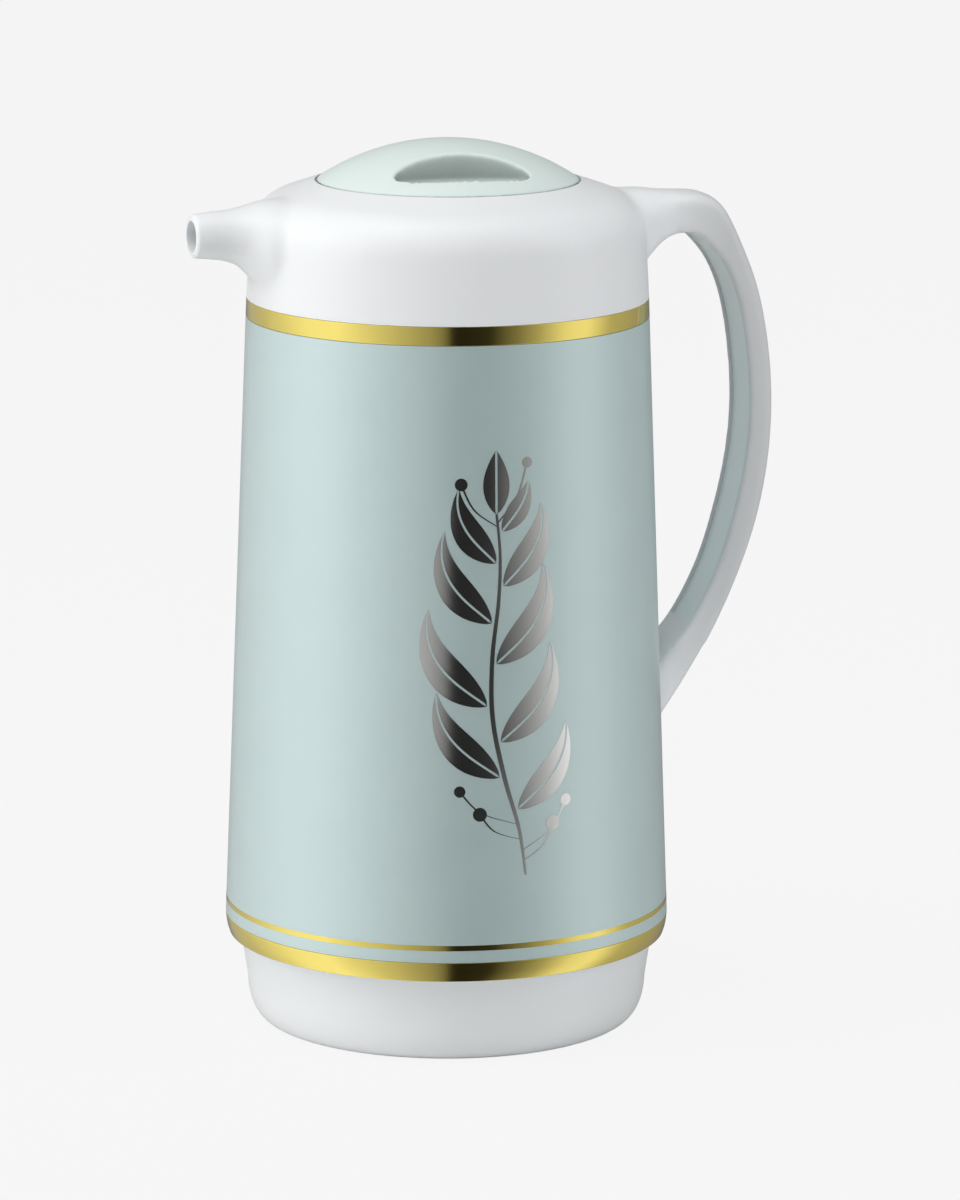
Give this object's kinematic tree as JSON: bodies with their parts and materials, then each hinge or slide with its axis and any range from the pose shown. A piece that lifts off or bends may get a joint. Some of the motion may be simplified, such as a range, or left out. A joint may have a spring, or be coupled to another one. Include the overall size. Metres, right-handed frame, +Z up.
{
  "type": "vacuum carafe",
  "caption": "Glass-lined vacuum carafe with a tapered painted case, fixed side spout, strap handle and a screw-in stopper with a domed grip lid.",
  "frame": {"origin": "centre of the standing ring, on the surface that the carafe stands on", "axes": "+Z up along the carafe's axis, -X to the spout, +X to the handle"},
  "size_m": [0.1854, 0.136, 0.2712],
  "materials": {
    "painted_case": "satin baked paint",
    "gold_trim": "bright gold-coloured foil",
    "white_plastic": "semi-gloss moulded white",
    "grey_plastic": "matt moulded grey",
    "lid_plastic": "semi-gloss moulded pale aqua",
    "inner_plastic": "natural moulded",
    "zinc_steel": "zinc plated",
    "black_rubber": "moulded",
    "silicone": "translucent white",
    "silvered_glass": "silvered on the vacuum side",
    "fibre_pad": "pressed fibre",
    "silver_print": "hot-stamped silver foil on the case",
    "foam": "rigid foam"
  },
  "bodies": {
    "root": {"outer_case": "painted_case", "upper_trim_ring": "gold_trim", "lower_trim_ring": "gold_trim", "shoulder": "white_plastic", "handle": "white_plastic", "handle_cover": "grey_plastic", "handle_screws": "zinc_steel", "handle_backing_plate": "zinc_steel", "neck_collar": "inner_plastic", "collar_screws": "zinc_steel", "collar_seal": "black_rubber", "mouth_gasket": "silicone", "liner_outer_glass": "silvered_glass", "liner_inner_glass": "silvered_glass", "liner_spacers": "fibre_pad", "liner_cushion": "black_rubber", "base_cup": "white_plastic", "base_retaining_ring": "inner_plastic"},
    "stopper_seal": {"seat_seal": "silicone"},
    "stopper": {"stopper_lid": "lid_plastic", "stopper_core": "inner_plastic", "stopper_insulation": "foam", "stopper_o_ring": "black_rubber", "seal_retainer": "inner_plastic"}
  },
  "joints": [
    {"name": "stopper_lift", "type": "slide", "parent": "root", "child": "stopper_seal", "axis": [0, 0, 1], "range_m": [0, 0.0091]},
    {"name": "stopper_turn", "type": "hinge", "parent": "stopper_seal", "child": "stopper", "pos_m": [0, 0, 0.24], "axis": [0, 0, 1], "range_deg": [0, 270]}
  ],
  "couplings": [
    {"joint": "stopper_lift", "follows": "stopper_turn", "m_per_rad": 0.0019099}
  ]
}
